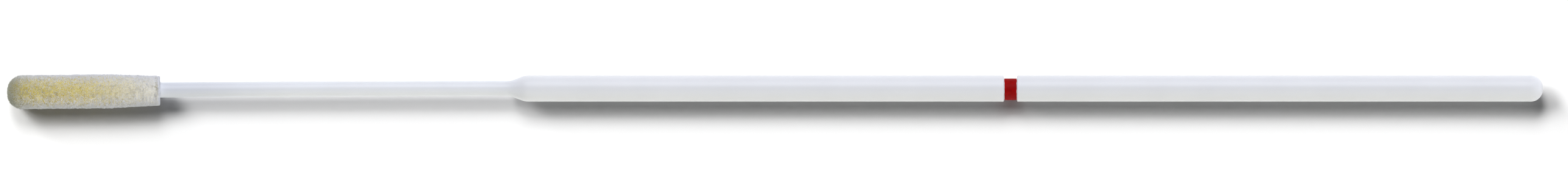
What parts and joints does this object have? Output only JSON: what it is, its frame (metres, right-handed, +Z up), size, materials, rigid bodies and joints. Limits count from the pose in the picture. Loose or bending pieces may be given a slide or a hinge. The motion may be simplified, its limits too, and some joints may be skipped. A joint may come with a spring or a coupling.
{
  "type": "flocked specimen swab",
  "caption": "Single-ended specimen swab: flocked fibre tip on a thin neck, thicker round handle with a red break-point groove and a rounded end.",
  "frame": {"origin": "bottom centre of the bounding box: under the middle of the swab's length, on the surface that it lies on", "axes": "+X along the swab from the fibre tip to the handle's rounded end, +Z up, +Y across"},
  "size_m": [0.153, 0.0034, 0.0035],
  "materials": {
    "shaft_plastic": "satin white moulded polymer",
    "flock_fibre": "short cream nylon flock, matte",
    "red_ink": "printed deep red ink"
  },
  "bodies": {
    "root": {"shaft": "shaft_plastic", "flock_tip": "flock_fibre", "break_mark": "red_ink"}
  },
  "joints": []
}
